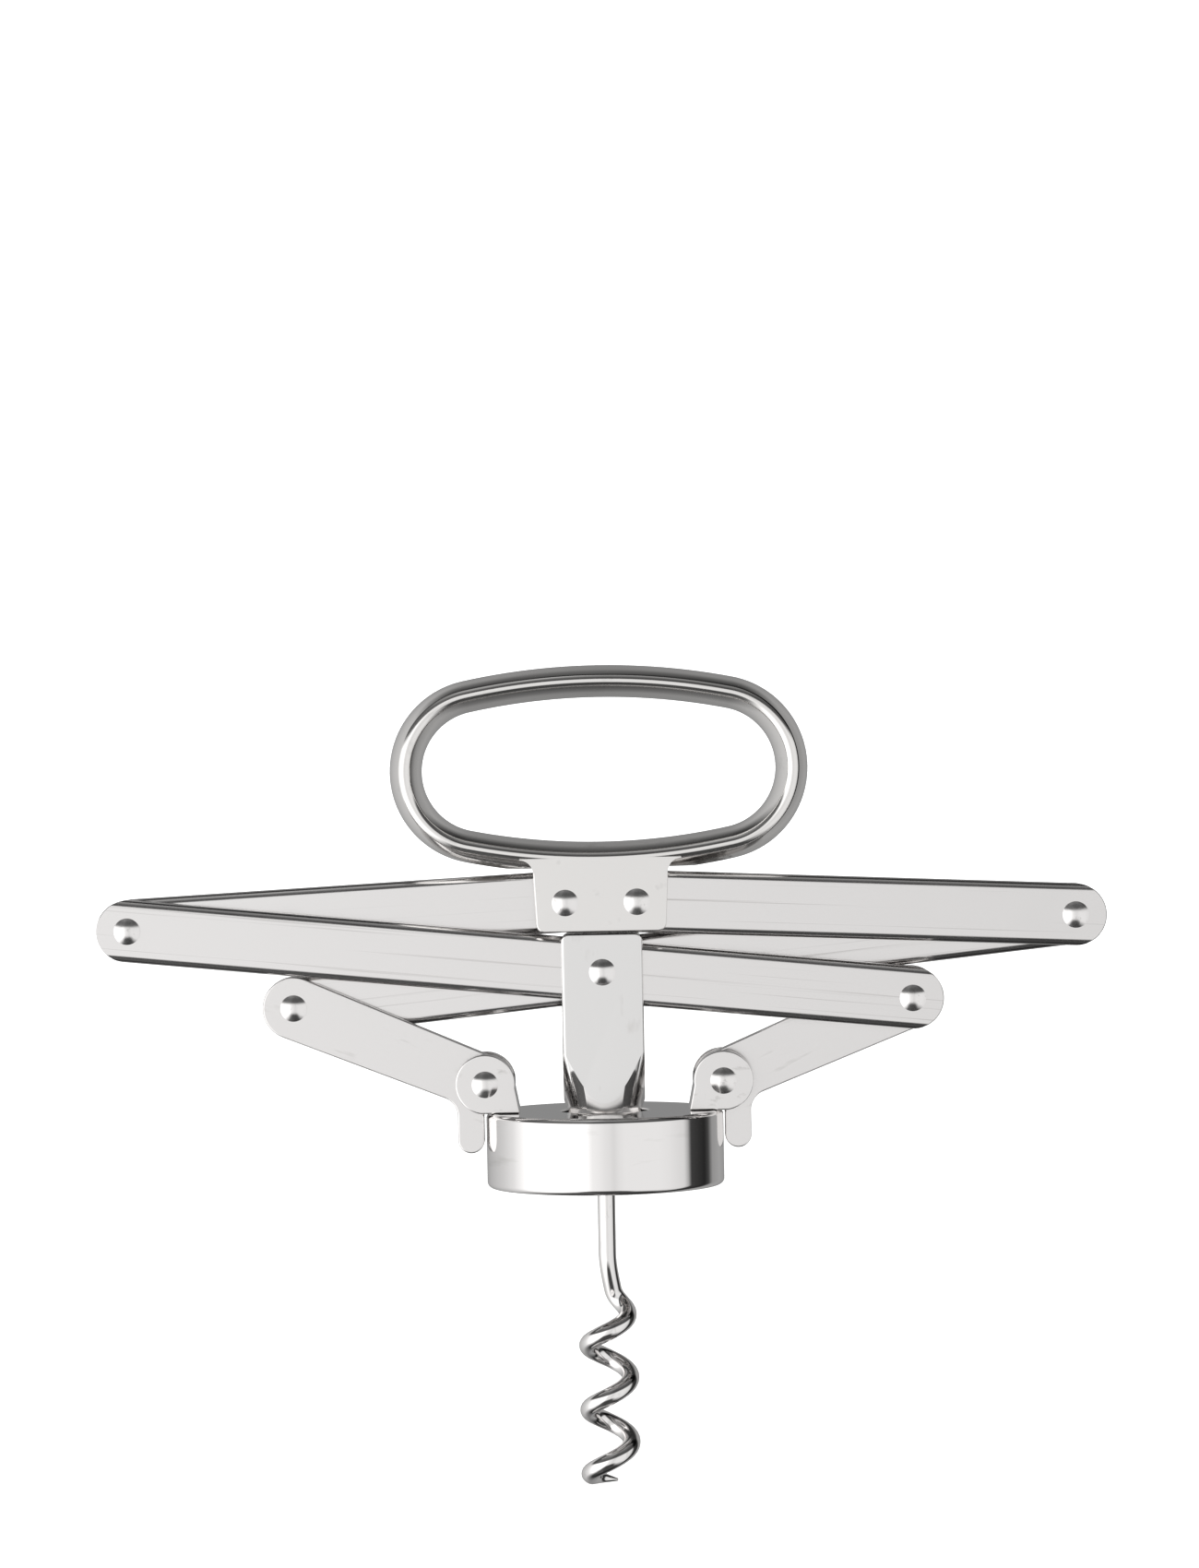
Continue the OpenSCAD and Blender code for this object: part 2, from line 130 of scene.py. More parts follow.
world = bpy.data.worlds.new("white room")
scene.world = world
world.use_nodes = True
world.cycles.sampling_method = "NONE"
tree = world.node_tree
tree.nodes.clear()
direction = add_node(tree, "ShaderNodeTexCoord").outputs["Generated"]
axes = add_node(tree, "ShaderNodeSeparateXYZ", {0: direction})
forward = add_node(tree, "ShaderNodeMath", {0: axes.outputs["Y"], 1: -1}, operation="MULTIPLY")
bearing = add_node(tree, "ShaderNodeMath", {0: axes.outputs["X"], 1: forward.outputs[0]},
                   operation="ARCTAN2")
bearing = add_node(tree, "ShaderNodeMath", {0: bearing.outputs[0], 1: 0.5 / pi, 2: 0.5},
                   operation="MULTIPLY_ADD")
height = add_node(tree, "ShaderNodeMath", {0: axes.outputs["Z"]}, operation="ARCSINE")
room = add_node(tree, "ShaderNodeValToRGB", {0: bearing.outputs[0]},
                stops=by_bearing(ROOM, BRIGHTEST))
halves = []
for limit, shortness in (("MAXIMUM", SHORT_ABOVE), ("MINIMUM", SHORT_BELOW)):
    half = add_node(tree, "ShaderNodeMath", {0: height.outputs[0], 1: 0}, operation=limit)
    short = add_node(tree, "ShaderNodeValToRGB", {0: bearing.outputs[0]},
                     stops=by_bearing(shortness))
    halves.append(add_node(tree, "ShaderNodeMath", {0: half.outputs[0], 1: short.outputs[0]},
                           operation="MULTIPLY"))
height = add_node(tree, "ShaderNodeMath", {0: halves[0].outputs[0], 1: halves[1].outputs[0]},
                  operation="ADD")
height = add_node(tree, "ShaderNodeMath", {0: height.outputs[0], 1: 1 / pi, 2: 0.5},
                  operation="MULTIPLY_ADD")
screen = add_node(tree, "ShaderNodeValToRGB", {0: height.outputs[0]},
                  stops=[((angle + 90) / 180, grey(value)) for angle, value in SCREEN])
glow = add_node(tree, "ShaderNodeMath", {0: room.outputs[0], 1: screen.outputs[0]},
                operation="MULTIPLY")
reflected = add_node(tree, "ShaderNodeBackground", {
    "Color": glow.outputs[0], "Strength": BRIGHTEST})
# everything but a reflection sees an even white room, a little brighter
plain = add_node(tree, "ShaderNodeBackground", {"Color": grey(1), "Strength": 1.6})
ray = add_node(tree, "ShaderNodeLightPath")
mirrored = add_node(tree, "ShaderNodeMixShader", {
    0: ray.outputs["Is Glossy Ray"], 1: plain.outputs[0], 2: reflected.outputs[0]})
add_node(tree, "ShaderNodeOutputWorld", {"Surface": mirrored.outputs[0]})


def linear(hex_colour):
    """A colour written as sRGB hex, in the linear values that a shader takes."""
    parts = [int(hex_colour[i:i + 2], 16) / 255 for i in (1, 3, 5)]
    return [*(c / 12.92 if c <= 0.04045 else ((c + 0.055) / 1.055) ** 2.4 for c in parts), 1]


# White card, matte, with the slight mottle of its paper surface
card = bpy.data.materials.new("matte white card")
card.use_nodes = True
tree = card.node_tree
shader = tree.nodes["Principled BSDF"]
shader.inputs["Roughness"].default_value = 0.9
place = add_node(tree, "ShaderNodeTexCoord").outputs["Object"]
mottle = add_node(tree, "ShaderNodeTexNoise", {"Vector": place, "Scale": 40, "Detail": 3})
tone = add_node(tree, "ShaderNodeValToRGB", {0: mottle.outputs[0]},
                stops=[(0.3, linear("#f4f4f3")), (0.7, linear("#f8f8f7"))])
tree.links.new(tone.outputs[0], shader.inputs["Base Color"])

bm = bmesh.new()
bmesh.ops.create_grid(bm, x_segments=1, y_segments=1, size=2)
bmesh.ops.translate(bm, verts=bm.verts, vec=(0, 0, cad_box[0][2] - FLOOR_DROP))
mesh = bpy.data.meshes.new("floor")
bm.to_mesh(mesh)
bm.free()
mesh.materials.append(card)
floor = bpy.data.objects.new("floor", mesh)
floor.visible_glossy = False
scene.collection.objects.link(floor)


# ---- Bottle collar --------------------------------------------------------------------
# A turned steel cup that drops over the bottle's lip: a thick wall, a flat top plate with a
# hole for the worm, soft outer edges. Polished on a wheel and bright nickel plated.

MM = 0.001
ARC_STEP = 5                # degrees between two points of a drawn arc
OVER = 1                    # how far a cutter reaches past what it cuts

COLLAR_R, BORE_R, COLLAR_HOLE_R = 18, 15.4, 6.7
COLLAR_TOP, COLLAR_BOTTOM, COLLAR_ROOF = 1.8, -9.6, 0
COLLAR_ROUND, COLLAR_BREAK = 0.9, 0.3


def trace(bm, start, *moves, closed=True):
    """Draws an outline in X and Z. A move to (x, z) is straight; a move of (x, z, turn) is
    an arc of so many degrees anticlockwise about that centre."""
    pen = first = bm.verts.new((start[0], 0, start[1]))
    for x, z, *turn in moves:
        if turn:
            geom = bmesh.ops.spin(
                bm, geom=[pen], cent=(x, 0, z), axis=(0, -1, 0), angle=radians(turn[0]),
                steps=max(2, ceil(abs(turn[0]) / ARC_STEP)))["geom_last"]
            pen = next(g for g in geom if isinstance(g, bmesh.types.BMVert))
        else:
            pen = bmesh.ops.extrude_vert_indiv(bm, verts=[pen])["verts"][0]
            pen.co = (x, 0, z)
    if closed and (pen.co - first.co).length > 1e-3:
        bm.edges.new((pen, first))
    bmesh.ops.remove_doubles(bm, verts=bm.verts, dist=1e-3)


def finish_piece(name, bm, material, body, slot, *nodes, sharp=35, flat=True):
    """Makes a mesh worked in millimetres into a piece that stands for its CAD nodes."""
    bmesh.ops.remove_doubles(bm, verts=bm.verts, dist=1e-4)
    bmesh.ops.recalc_face_normals(bm, faces=bm.faces)
    bmesh.ops.scale(bm, vec=(MM, MM, MM), verts=bm.verts)
    mesh = bpy.data.meshes.new(name)
    bm.to_mesh(mesh)
    bm.free()
    mesh.materials.append(material)
    mesh.shade_smooth()
    mesh.set_sharp_from_angle(angle=radians(sharp))
    piece = bpy.data.objects.new(name, mesh)
    scene.collection.objects.link(piece)
    if flat:
        weights = piece.modifiers.new("flat faces stay flat", "WEIGHTED_NORMAL")
        weights.keep_sharp = True
    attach(piece, body)
    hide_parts(*nodes)
    return piece


def plated(name, colour, mark, roughness, haze, lines, depth, tilt=0):
    """Bright nickel over polished metal. lines is the length, thickness and width of the
    polishing marks in millimetres, laid along X and turned about Y by tilt degrees; mark is
    the colour in the deepest of them, and haze how much roughness the dullest areas add."""
    material = bpy.data.materials.new(name)
    material.use_nodes = True
    tree = material.node_tree
    shader = tree.nodes["Principled BSDF"]
    shader.inputs["Metallic"].default_value = 1
    place = add_node(tree, "ShaderNodeTexCoord").outputs["Object"]
    laid = add_node(tree, "ShaderNodeMapping", {
        "Vector": place, "Rotation": (0, radians(tilt), 0),
        "Scale": [size * MM for size in lines]}, vector_type="TEXTURE")
    marks = add_node(tree, "ShaderNodeTexNoise", {
        "Vector": laid.outputs[0], "Scale": 1, "Detail": 3, "Roughness": 0.65})
    # handled areas a centimetre or so across, where the polish has gone a little dull
    dull = add_node(tree, "ShaderNodeTexNoise", {"Vector": place, "Scale": 110, "Detail": 4})
    tone = add_node(tree, "ShaderNodeValToRGB", {0: marks.outputs[0]},
                    stops=[(0.26, linear(mark)), (0.40, linear(colour))])
    sheen = add_node(tree, "ShaderNodeMapRange", {
        0: dull.outputs[0], 1: 0.35, 2: 0.75, 3: roughness, 4: roughness + haze})
    relief = add_node(tree, "ShaderNodeBump", {
        "Strength": depth, "Distance": 0.01 * MM, "Height": marks.outputs[0]})
    tree.links.new(tone.outputs[0], shader.inputs["Base Color"])
    tree.links.new(sheen.outputs[0], shader.inputs["Roughness"])
    tree.links.new(relief.outputs[0], shader.inputs["Normal"])
    return material


bm = bmesh.new()
trace(bm, (COLLAR_HOLE_R, COLLAR_ROOF),
      (COLLAR_HOLE_R, COLLAR_TOP - COLLAR_BREAK),
      (COLLAR_HOLE_R + COLLAR_BREAK, COLLAR_TOP - COLLAR_BREAK, -90),
      (COLLAR_R - COLLAR_ROUND, COLLAR_TOP),
      (COLLAR_R - COLLAR_ROUND, COLLAR_TOP - COLLAR_ROUND, -90),
      (COLLAR_R, COLLAR_BOTTOM + COLLAR_ROUND),
      (COLLAR_R - COLLAR_ROUND, COLLAR_BOTTOM + COLLAR_ROUND, -90),
      (BORE_R + COLLAR_BREAK, COLLAR_BOTTOM),
      (BORE_R + COLLAR_BREAK, COLLAR_BOTTOM + COLLAR_BREAK, -90),
      (BORE_R, COLLAR_ROOF))
bmesh.ops.spin(bm, geom=bm.edges[:], cent=(0, 0, 0), axis=(0, 0, 1), angle=2 * pi, steps=144,
               use_merge=True)
# Wheel-polished nickel: the sharpest mirror on the corkscrew, with hardly visible rings
collar_nickel = plated("wheel-polished nickel", "#f3f1f0", "#e8e6e4", 0.04, 0.05,
                       (14, 14, 2.5), 0.25)
finish_piece("collar", bm, collar_nickel, "collar", "plated_collar", "collar_cup")


# ---- Ears -----------------------------------------------------------------------------
# Two forked steel lugs brazed on the collar's top plate, one each side. Each has two cheeks
# that take a link between them and a low bridge at its inner end.

EAR_OUT, EAR_SLOT = 4.6, 2.8
EAR_R, EAR_FOOT, EAR_BRIDGE, EAR_STEP = 4.5, 5.2, 0.8, 2.1
LINK_ROOM_R = 4.4
PIN_HOLE_R = 1.45
EDGE = 0.3                  # broken edges of the lugs and links


def middle(node):
    """X and Z of the middle of a CAD node, in millimetres."""
    low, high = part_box(node)
    return (low.x + high.x) / 2 / MM, (low.z + high.z) / 2 / MM


def bevel_sharp(bm, size, segments=2, angle=40, below=1000):
    """Breaks the sharp edges that lie below a height."""
    edges = [e for e in bm.edges
             if len(e.link_faces) == 2 and e.calc_face_angle(0) > radians(angle)
             and max(v.co.z for v in e.verts) < below]
    bmesh.ops.bevel(bm, geom=edges, affect="EDGES", offset=size, segments=segments,
                    profile=0.5, material=-1)


def plate(front, back, *outline, edge=0):
    """A plate with a traced outline, from one depth to another."""
    bm = bmesh.new()
    trace(bm, *outline)
    bmesh.ops.edgeloop_fill(bm, edges=bm.edges[:])
    raised = bmesh.ops.extrude_face_region(bm, geom=bm.faces[:])["geom"]
    bmesh.ops.translate(bm, vec=(0, back - front, 0),
                        verts=[g for g in raised if isinstance(g, bmesh.types.BMVert)])
    bmesh.ops.translate(bm, vec=(0, front, 0), verts=bm.verts)
    bmesh.ops.recalc_face_normals(bm, faces=bm.faces)
    if edge:
        bevel_sharp(bm, edge)
    return bm


def block(low, high):
    """A plain block between two corners."""
    bm = bmesh.new()
    bmesh.ops.create_cube(bm, size=1)
    low, high = Vector(low), Vector(high)
    bmesh.ops.scale(bm, vec=high - low, verts=bm.verts)
    bmesh.ops.translate(bm, vec=(low + high) / 2, verts=bm.verts)
    return bm


def round_bar(x, z, radius, front, back):
    """A round bar from front to back."""
    bm = bmesh.new()
    bmesh.ops.create_cone(
        bm, cap_ends=True, segments=64, radius1=radius, radius2=radius, depth=back - front,
        matrix=Matrix.Translation((x, (front + back) / 2, z)) @ Matrix.Rotation(pi / 2, 4, "X"))
    return bm


def combine(solid, tool, operation="DIFFERENCE"):
    """Cuts, joins or crosses two closed meshes, and returns the result."""
    pair = []
    for bm in (solid, tool):
        mesh = bpy.data.meshes.new("work")
        bm.to_mesh(mesh)
        bm.free()
        pair.append(bpy.data.objects.new("work", mesh))
        scene.collection.objects.link(pair[-1])
    modifier = pair[0].modifiers.new("cut", "BOOLEAN")
    modifier.operation = operation
    modifier.solver = "EXACT"
    modifier.object = pair[1]
    result = bmesh.new()
    result.from_object(pair[0], bpy.context.evaluated_depsgraph_get())
    for work in pair:
        mesh = work.data
        bpy.data.objects.remove(work)
        bpy.data.meshes.remove(mesh)
    return result


# Filed and polished lug: softer mirror than the collar, marks running across it
lug_nickel = plated("filed and plated lug steel", "#eeeceb", "#d8d6d4", 0.09, 0.08,
                    (3, 3, 1.5), 0.3)

ear_x, ear_z = middle("right_ear_rivet")
foot_x = ear_x - EAR_FOOT
drop = ear_z - COLLAR_TOP
under = sqrt(EAR_R ** 2 - drop ** 2) if drop < EAR_R else 0
touch = degrees(pi / 2 - atan2(drop, EAR_FOOT) + acos(EAR_R / hypot(EAR_FOOT, drop)))
low_angle = degrees(atan2(-drop, under))
for side, name in ((1, "right"), (-1, "left")):
    ear = plate(-EAR_OUT, EAR_OUT, (foot_x, COLLAR_TOP), (ear_x + under, COLLAR_TOP),
                (ear_x, ear_z, 90 + touch - low_angle), edge=EDGE)
    ear = combine(ear, round_bar(ear_x, ear_z, LINK_ROOM_R, -EAR_SLOT, EAR_SLOT))
    ear = combine(ear, block((foot_x + EAR_BRIDGE, -EAR_SLOT, ear_z - EAR_STEP),
                             (ear_x + 2 * EAR_R, EAR_SLOT, ear_z + 2 * EAR_R)))
    ear = combine(ear, block((ear_x, -EAR_SLOT, 0), (ear_x + 2 * EAR_R, EAR_SLOT, ear_z)))
    ear = combine(ear, round_bar(ear_x, ear_z, PIN_HOLE_R, -2 * EAR_OUT, 2 * EAR_OUT))
    bmesh.ops.scale(ear, vec=(side, 1, 1), verts=ear.verts)
    finish_piece(name + "_lug", ear, lug_nickel, "collar", "plated_collar", name + "_ear")


# ---- Collar links ---------------------------------------------------------------------
# Two flat steel levers blanked from thick strip, each pinned in an ear and under a long arm.
# A stop finger hangs from the ear end and lies down the collar's side when all is folded.

LINK_ROOT_R, ARM_R, LINK_PLATE, LAYER = 4.2, 4.7, 2.5, 0.1
FINGER, FINGER_GAP, FINGER_REACH, FINGER_FILLET = 4, 0.25, 10.5, 3

far_x, far_z = middle("lower_right_rivet")
link_dx, link_dz = far_x - ear_x, far_z - ear_z
link_tilt = degrees(atan2(link_dz, link_dx))
taper = degrees((ARM_R - LINK_ROOT_R) / hypot(link_dx, link_dz))
edge_slope = radians(link_tilt - taper)
tip_z = ear_z + FINGER / 2 - FINGER_REACH
inner_x = ear_x + FINGER_GAP
outer_x = inner_x + FINGER
fillet_x = outer_x + FINGER_FILLET
fillet_z = (ear_z - LINK_ROOT_R * cos(edge_slope) - FINGER_FILLET / cos(edge_slope)
            + (fillet_x - ear_x - LINK_ROOT_R * sin(edge_slope)) * sin(edge_slope)
            / cos(edge_slope))
root_end = 360 - degrees(acos(FINGER_GAP / LINK_ROOT_R))
for side, name, front in ((1, "right", LAYER), (-1, "left", -LAYER - LINK_PLATE)):
    link = plate(
        front, front + LINK_PLATE, (inner_x, tip_z),
        (inner_x + FINGER / 2, tip_z, 180),
        (outer_x, fillet_z),
        (fillet_x, fillet_z, link_tilt - taper - 90),
        (far_x + ARM_R * sin(edge_slope), far_z - ARM_R * cos(edge_slope)),
        (far_x, far_z, 180 + 2 * taper),
        (ear_x - LINK_ROOT_R * sin(radians(link_tilt + taper)),
         ear_z + LINK_ROOT_R * cos(radians(link_tilt + taper))),
        (ear_x, ear_z, root_end - 90 - link_tilt - taper), edge=EDGE)
    for x, z in ((ear_x, ear_z), (far_x, far_z)):
        link = combine(link, round_bar(x, z, PIN_HOLE_R, front - OVER, front + LINK_PLATE + OVER))
    bmesh.ops.scale(link, vec=(side, 1, 1), verts=link.verts)
    # Blanked strip, tumbled and plated: soft clouds along the lever, hardly a line
    link_nickel = plated(f"tumbled nickel, {name} link", "#edebea", "#dddbd9", 0.16, 0.12,
                         (12, 2.5, 2.5), 0.35, -side * link_tilt)
    finish_piece(name + "_link_plate", link, link_nickel, name + "_link", "plated_arms",
                 name + "_link")


# ---- Arms -----------------------------------------------------------------------------
# Four channels pressed from 1 mm steel strip, their ends cut round: two long ones that cross
# at the worm holder and two upper ones that pull on the handle. Rolled strip shows as fine
# lines along the whole length under the nickel.

SHEET, ARM_DEPTH, ARM_ROUND, INNER_ROUND = 1, 4.3, 1.2, 0.3
ARM_STEPS = 36              # points across an arm's round end
RIM = 0.1                   # broken rim of the cut ends and flanges


def channel(length, holes):
    """A channel along X from the origin, its web facing front; holes are (x, radius)."""
    bm = bmesh.new()
    rows = []
    for reach, rounding, web in ((ARM_R, ARM_ROUND, 0), (ARM_R - SHEET, INNER_ROUND, SHEET)):
        row = [reach * sin(radians(180 * i / ARM_STEPS - 90)) for i in range(ARM_STEPS + 1)]
        into = [max(0, abs(w) - reach + rounding) for w in row]
        row = [(w, web + rounding - sqrt(max(0, rounding ** 2 - d ** 2)))
               for w, d in zip(row, into)]
        row = [(-reach, ARM_DEPTH)] + row + [(reach, ARM_DEPTH)]
        rows.append([bm.verts.new((0, y, w)) for w, y in row])
    outer, inner = rows
    section = [bm.faces.new((outer[i], outer[i + 1], inner[i + 1], inner[i]))
               for i in range(len(outer) - 1)]
    far = [g for g in bmesh.ops.extrude_face_region(bm, geom=section)["geom"]
           if isinstance(g, bmesh.types.BMVert)]
    bmesh.ops.translate(bm, vec=(length, 0, 0), verts=far)
    for vert in bm.verts:
        overhang = sqrt(max(0, ARM_R ** 2 - vert.co.z ** 2))
        vert.co.x += overhang if vert.co.x > length / 2 else -overhang
    bmesh.ops.recalc_face_normals(bm, faces=bm.faces)
    bevel_sharp(bm, RIM, segments=1, angle=60)
    for x, radius in holes:
        bm = combine(bm, round_bar(x, 0, radius, -OVER, SHEET + OVER))
    return bm


FRONT, REAR = -LAYER - ARM_DEPTH, LAYER
CENTRE_HOLE_R, HANDLE_HOLE_R = 3.5, 2.5
centre_x, centre_z = middle("centre_rivet")
arms = (
    # name, body, start pivot, end pivot, depth, hole radius at the start, at the centre
    ("rear_long", "rear_long_arm", "lower_left_rivet", "right_end_rivet", REAR,
     PIN_HOLE_R, PIN_HOLE_R),
    ("front_long", "front_long_arm", "lower_right_rivet", "left_end_rivet", FRONT,
     PIN_HOLE_R, CENTRE_HOLE_R),
    ("upper_right", "upper_right_arm", "right_handle_rivet", "right_end_rivet", FRONT,
     PIN_HOLE_R, None),
    ("upper_left", "upper_left_arm", "left_handle_rivet", "left_end_rivet", REAR,
     HANDLE_HOLE_R, None),
)
for name, body, start, end, front, start_hole, centre_hole in arms:
    x0, z0 = middle(start)
    x1, z1 = middle(end)
    length = hypot(x1 - x0, z1 - z0)
    holes = [(0, start_hole), (length, PIN_HOLE_R)]
    if centre_hole:
        holes.append((hypot(centre_x - x0, centre_z - z0), centre_hole))
    arm = channel(length, holes)
    slope = atan2(z1 - z0, abs(x1 - x0))
    bmesh.ops.rotate(arm, cent=(0, 0, 0), matrix=Matrix.Rotation(-slope, 3, "Y"),
                     verts=arm.verts)
    side = 1 if x1 > x0 else -1
    bmesh.ops.scale(arm, vec=(side, 1, 1), verts=arm.verts)
    bmesh.ops.translate(arm, vec=(x0, front, z0), verts=arm.verts)
    # Rolled strip under nickel: a few fine lines along the arm, 0.75 mm apart or more
    strip_nickel = plated(f"rolled strip nickel, {name} arm", "#edebea", "#bfbcba", 0.11, 0.10,
                          (130, 0.75, 0.75), 0.16, -side * degrees(slope))
    finish_piece(name + "_channel", arm, strip_nickel, body, "plated_arms", body)


# ---- Worm holder ----------------------------------------------------------------------
# A square steel bar, slotted from the top for the two long arms that cross in it. Its lower
# end is turned to a cone, so that each flat face ends in a round tongue.

HOLDER_HALF, SLOT_HALF = 6.15, 4.6
HOLDER_CONE, SLOT_FLOOR, SOCKET_ROOF, WIRE = 17, 8.98, 1.5, 2.7
TURNED_END = 3.2
HOLDER_SHOULDER, HOLDER_EDGE, HOLDER_RIM = 1.2, 0.5, 0.2
CORNER_CLEAR = 0.1          # from the bar's corners to the blank it is turned from
TIGHT = 0.05                # how much smaller a hole is where its rivet holds fast


def tight_hole(node):
    """Cutter for a rivet's hole through both cheeks of the holder or the handle's tab."""
    return round_bar(*middle(node), PIN_HOLE_R - TIGHT, -HOLDER_HALF - OVER, HOLDER_HALF + OVER)


low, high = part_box("worm_holder")
holder_bottom, holder_top = low.z / MM, high.z / MM
bar = block((-HOLDER_HALF, -HOLDER_HALF, holder_bottom - OVER),
            (HOLDER_HALF, HOLDER_HALF, holder_top))
shoulders = [e for e in bar.edges
             if all(v.co.z > 0 for v in e.verts) and e.verts[0].co.x == e.verts[1].co.x]
bmesh.ops.bevel(bar, geom=shoulders, affect="EDGES", offset=HOLDER_SHOULDER, segments=5,
                profile=0.5, material=-1)
bevel_sharp(bar, HOLDER_RIM)
upright = block((-HOLDER_HALF, -HOLDER_HALF, holder_bottom - 2 * OVER),
                (HOLDER_HALF, HOLDER_HALF, holder_top + OVER))
corners = [e for e in upright.edges if e.verts[0].co.z != e.verts[1].co.z]
bmesh.ops.bevel(upright, geom=corners, affect="EDGES", offset=HOLDER_EDGE, segments=4,
                profile=0.5, material=-1)
bar = combine(bar, upright, "INTERSECT")
corner_r = HOLDER_HALF * sqrt(2) + CORNER_CLEAR
cone_run = tan(radians(HOLDER_CONE))
cone_top = TURNED_END + (corner_r - HOLDER_HALF) / cone_run
foot_r = HOLDER_HALF - (TURNED_END - holder_bottom) * cone_run
turned = bmesh.new()
trace(turned, (0, holder_bottom), (foot_r - EDGE, holder_bottom),
      (foot_r, holder_bottom + EDGE), (corner_r, cone_top), (corner_r, holder_top + OVER),
      (0, holder_top + OVER), closed=False)
bmesh.ops.spin(turned, geom=turned.edges[:], cent=(0, 0, 0), axis=(0, 0, 1), angle=2 * pi,
               steps=128, use_merge=True)
bmesh.ops.remove_doubles(turned, verts=turned.verts, dist=1e-4)
bmesh.ops.recalc_face_normals(turned, faces=turned.faces)
holder = combine(bar, turned, "INTERSECT")
holder = combine(holder, block((-2 * HOLDER_HALF, -SLOT_HALF, SLOT_FLOOR),
                               (2 * HOLDER_HALF, SLOT_HALF, holder_top + OVER)))
socket_top, socket_bottom = SLOT_FLOOR - SOCKET_ROOF, holder_bottom - OVER
socket = bmesh.new()
bmesh.ops.create_cone(
    socket, cap_ends=True, segments=48, radius1=WIRE / 2, radius2=WIRE / 2,
    depth=socket_top - socket_bottom,
    matrix=Matrix.Translation((0, 0, (socket_top + socket_bottom) / 2)))
holder = combine(holder, socket)
holder = combine(holder, tight_hole("centre_rivet"))
# Milled and buffed bar: flat mirror, a little clouded, its edges rounded by the buff
holder_nickel = plated("buffed bar nickel", "#ecebea", "#dfdddb", 0.08, 0.07,
                       (4, 4, 9), 0.25)
finish_piece("holder_bar", holder, holder_nickel, "worm_holder", "plated_holder", "worm_holder",
             sharp=30)


# ---- Worm -----------------------------------------------------------------------------
# Spring-steel wire coiled on a mandrel, its straight shank pressed into the holder and its
# end ground to a point. Plated after coiling, so it is bright all over.

HELIX_R, PITCH, TURNS, HELIX_TOP = 3.2, 9.8, 3.75, -19.7
LEAD_IN = 1.15              # turns over which the wire swings out
FIRST_RIGHT, LAG = 0.95, 1.4   # where it first reaches the right, and how slowly
LEVEL_TURNS, LEVEL_LOSS = 0.4, 0.8  # how the end of the coil levels off
POINT_TURNS, POINT_END = 0.22, 0.15
RINGS_PER_TURN, WIRE_SIDES = 48, 20


def worm_bearing(turn):
    """Which way the wire lies from the axis, so many turns below the start of the helix."""
    before = min(max(FIRST_RIGHT - turn, 0), 0.5 / LAG)
    return 2 * pi * (before - LAG * before ** 2 - max(turn - FIRST_RIGHT, 0))


def worm_middle(turn):
    """Middle of the wire at that turn."""
    t = min(max(turn / LEAD_IN, 0), 1)
    swing = HELIX_R * t * t * (3 - 2 * t)
    end = max(turn - TURNS + LEVEL_TURNS, 0)
    fall = PITCH * (turn - LEVEL_LOSS * end ** 2 / (2 * LEVEL_TURNS))
    angle = worm_bearing(turn)
    return Vector((swing * cos(angle), swing * sin(angle), HELIX_TOP - fall))


def worm_frame(turn):
    """Where a ring of the wire lies, square to the wire and as big as it is there."""
    step = 0.5 / RINGS_PER_TURN
    along = (worm_middle(turn + step) - worm_middle(turn - step)).normalized()
    angle = worm_bearing(turn)
    side = along.cross(Vector((cos(angle), sin(angle), 0))).normalized()
    up = side.cross(along)
    size = POINT_END + (1 - POINT_END) * min(max((TURNS - turn) / POINT_TURNS, 0), 1)
    turned = Matrix((up, side, along)).transposed().to_4x4()
    return Matrix.Translation(worm_middle(turn)) @ turned @ Matrix.Scale(size, 4)


def grow(bm, ring):
    """Grows one more length of wire from a ring; returns its new ring and that ring's points."""
    grown = bmesh.ops.extrude_edge_only(bm, edges=ring)["geom"]
    points = [g for g in grown if isinstance(g, bmesh.types.BMVert)]
    return [g for g in grown if isinstance(g, bmesh.types.BMEdge)
            and g.verts[0] in points and g.verts[1] in points], points


bm = bmesh.new()
last = worm_frame(0)
bmesh.ops.create_circle(bm, radius=WIRE / 2, segments=WIRE_SIDES, matrix=last)
ring = bm.edges[:]
shank, points = grow(bm, ring)
for point in points:
    point.co.z = socket_top
bmesh.ops.edgeloop_fill(bm, edges=shank)
for i in range(1, round(TURNS * RINGS_PER_TURN) + 1):
    here = worm_frame(i / RINGS_PER_TURN)
    ring, points = grow(bm, ring)
    bmesh.ops.transform(bm, matrix=here @ last.inverted(), verts=points)
    last = here
bmesh.ops.edgeloop_fill(bm, edges=ring)
# Coiled wire, plated last: bright, with drawing marks too fine to see singly
wire_nickel = plated("coiled wire nickel", "#f1efee", "#d9d7d5", 0.05, 0.07, (1.5, 1.5, 4),
                     0.3)
finish_piece("worm_wire", bm, wire_nickel, "worm_holder", "worm_wire", "worm", flat=False)
